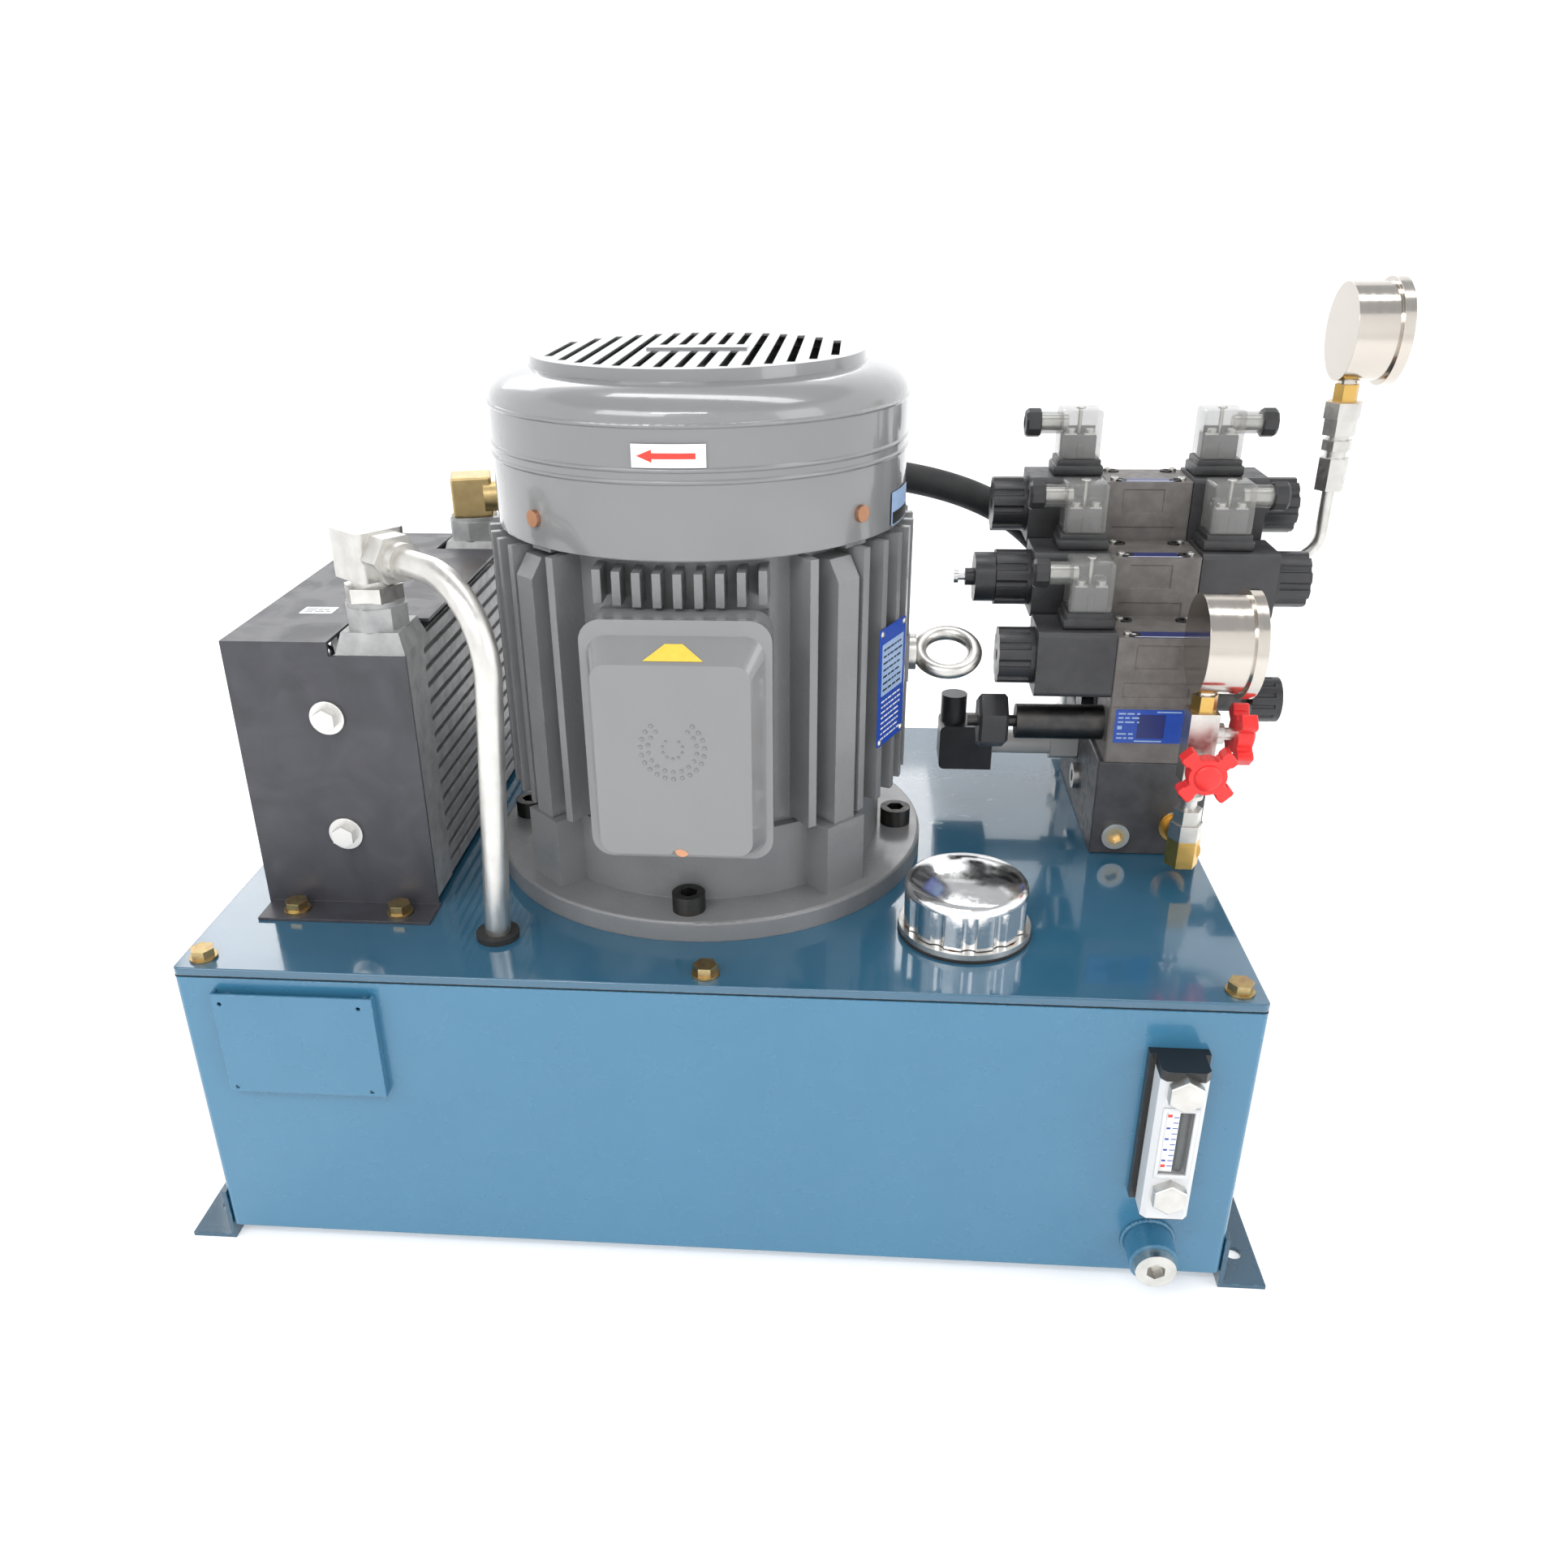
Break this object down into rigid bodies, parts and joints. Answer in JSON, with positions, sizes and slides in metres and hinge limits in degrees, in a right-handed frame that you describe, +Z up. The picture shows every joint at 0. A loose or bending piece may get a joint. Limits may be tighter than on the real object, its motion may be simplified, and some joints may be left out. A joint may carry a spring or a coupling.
{
  "type": "hydraulic power unit",
  "caption": "Oil tank with a vertical flange motor and immersed gear pump, an air-oil cooler, and a manifold carrying stacked solenoid directional valves and gauges.",
  "frame": {"origin": "centre of the foot bolt pattern on the floor", "axes": "+Z up, +X along the tank's long side from the cooler to the valves, +Y from the front to the back"},
  "size_m": [0.793, 0.445, 0.5865],
  "materials": {
    "paint": "glossy blue enamel",
    "paint_cover": "glossy blue enamel",
    "rubber": "matte black",
    "hose_rubber": "matte black with fine wrap marks",
    "zinc_yellow": "yellow-passivated zinc",
    "zinc": "clear zinc plate",
    "bright_steel": "bright plated",
    "black_steel": "black oxide",
    "black_plastic": "moulded, fine grain",
    "clear_plastic": "clear moulded",
    "chrome": "polished plate",
    "motor_paint": "cast, semi-gloss mid grey enamel",
    "motor_paint_sheet": "pressed sheet, semi-gloss mid grey enamel",
    "copper_screw": "copper-coloured passivated",
    "laminations": "stacked sheet, varnished",
    "bearing_steel": "ground",
    "fan_plastic": "moulded",
    "pump_aluminium": "extruded",
    "mesh_steel": "woven mesh",
    "cooler_paint": "satin black powder coat",
    "cooler_aluminium": "brazed bars and cast tanks, bare",
    "brass": "as machined",
    "manifold_steel": "milled",
    "module_paint": "phosphated",
    "valve_iron": "phosphated",
    "coil_plastic": "moulded",
    "nut_plastic": "moulded",
    "connector_plastic": "moulded",
    "gauge_steel": "polished stainless",
    "red_plastic": "moulded"
  },
  "bodies": {
    "tank": {"tank_shell": "paint", "tank_cover": "paint_cover", "rubber_seals": "rubber", "tank_feet": "paint", "hex_bolts": "zinc_yellow", "nameplate_bracket": "paint", "level_gauge_body": "black_plastic", "level_gauge_window": "clear_plastic", "level_gauge_bolts": "bright_steel", "port_plugs": "zinc", "filler_neck": "chrome", "motor_flange": "motor_paint", "motor_frame": "motor_paint", "motor_end_shield": "motor_paint", "fan_cowl": "motor_paint_sheet", "terminal_box": "motor_paint", "terminal_cover": "motor_paint", "trim_screws": "copper_screw", "socket_screws": "black_steel", "eye_bolt": "zinc", "stator": "laminations", "motor_bearings": "bearing_steel", "pump_body": "pump_aluminium", "pump_cover": "pump_aluminium", "suction_strainer": "mesh_steel", "pressure_pipe": "zinc", "cooler_core": "cooler_aluminium", "cooler_shroud": "cooler_paint", "cooler_fan_motor": "black_plastic", "fan_guard": "cooler_paint", "return_tube": "zinc", "inlet_elbow": "brass", "return_hose": "hose_rubber", "steel_fittings": "zinc", "manifold_block": "manifold_steel", "sandwich_modules": "module_paint", "valve_cartridges": "zinc", "valve_bodies": "valve_iron", "solenoid_coils": "coil_plastic", "coil_nuts": "nut_plastic", "din_connectors": "connector_plastic", "pressure_switch": "black_plastic", "gauge_fittings": "zinc", "gauge_cases": "gauge_steel", "gauge_lenses": "clear_plastic"},
    "rotor": {"rotor_shaft": "bearing_steel", "cooling_fan": "fan_plastic", "pump_drive_gear": "bearing_steel"},
    "driven_gear": {"pump_driven_gear": "bearing_steel"},
    "cooler_fan": {"cooler_fan": "fan_plastic"},
    "filler_cap": {"filler_cap": "chrome"},
    "handwheel_front": {"handwheel_front": "red_plastic"},
    "handwheel_side": {"handwheel_side": "red_plastic"},
    "relief_knob_left": {"relief_knob_left": "black_plastic"},
    "relief_knob_right": {"relief_knob_right": "black_plastic"},
    "pointer_front": {"pointer_front": "black_plastic"},
    "pointer_rear": {"pointer_rear": "black_plastic"},
    "spool_front": {"spool_front": "bearing_steel"},
    "spool_middle": {"spool_middle": "bearing_steel"},
    "spool_rear": {"spool_rear": "bearing_steel"}
  },
  "joints": [
    {"name": "rotor_spin", "type": "hinge", "parent": "tank", "child": "rotor", "pos_m": [-0.016, -0.008, 0.35], "axis": [0, 0, 1], "continuous": true},
    {"name": "driven_gear_spin", "type": "hinge", "parent": "tank", "child": "driven_gear", "pos_m": [-0.016, 0.034, 0.164], "axis": [0, 0, 1], "continuous": true},
    {"name": "cooler_fan_spin", "type": "hinge", "parent": "tank", "child": "cooler_fan", "pos_m": [-0.28, 0.013, 0.308], "axis": [1, 0, 0], "continuous": true},
    {"name": "filler_cap_lift", "type": "slide", "parent": "tank", "child": "filler_cap", "axis": [0, 0, 1], "range_m": [0, 0.06]},
    {"name": "handwheel_front_turn", "type": "hinge", "parent": "tank", "child": "handwheel_front", "pos_m": [0.3064, -0.082, 0.308], "axis": [0, -1, 0], "range_deg": [0, 720]},
    {"name": "handwheel_side_turn", "type": "hinge", "parent": "tank", "child": "handwheel_side", "pos_m": [0.3274, -0.059, 0.325], "axis": [1, 0, 0], "range_deg": [0, 720]},
    {"name": "relief_left_turn", "type": "hinge", "parent": "tank", "child": "relief_knob_left", "pos_m": [0.181, 0, 0.308], "axis": [-1, 0, 0], "range_deg": [-360, 360]},
    {"name": "relief_right_turn", "type": "hinge", "parent": "tank", "child": "relief_knob_right", "pos_m": [0.376, 0.05, 0.308], "axis": [1, 0, 0], "range_deg": [-360, 360]},
    {"name": "pointer_front_turn", "type": "hinge", "parent": "tank", "child": "pointer_front", "pos_m": [0.3144, -0.059, 0.385], "axis": [1, 0, 0], "range_deg": [-270, 0], "stiffness_Nm_per_rad": 0.005},
    {"name": "pointer_rear_turn", "type": "hinge", "parent": "tank", "child": "pointer_rear", "pos_m": [0.419, 0.09, 0.5525], "axis": [1, 0, 0], "range_deg": [-270, 0], "stiffness_Nm_per_rad": 0.005},
    {"name": "spool_front_shift", "type": "slide", "parent": "tank", "child": "spool_front", "axis": [1, 0, 0], "range_m": [0, 0.003], "stiffness_N_per_m": 4000},
    {"name": "spool_middle_shift", "type": "slide", "parent": "tank", "child": "spool_middle", "axis": [1, 0, 0], "range_m": [-0.003, 0.003], "stiffness_N_per_m": 4000},
    {"name": "spool_rear_shift", "type": "slide", "parent": "tank", "child": "spool_rear", "axis": [1, 0, 0], "range_m": [-0.003, 0.003], "stiffness_N_per_m": 4000}
  ],
  "couplings": [
    {"joint": "driven_gear_spin", "follows": "rotor_spin", "ratio": -1}
  ]
}
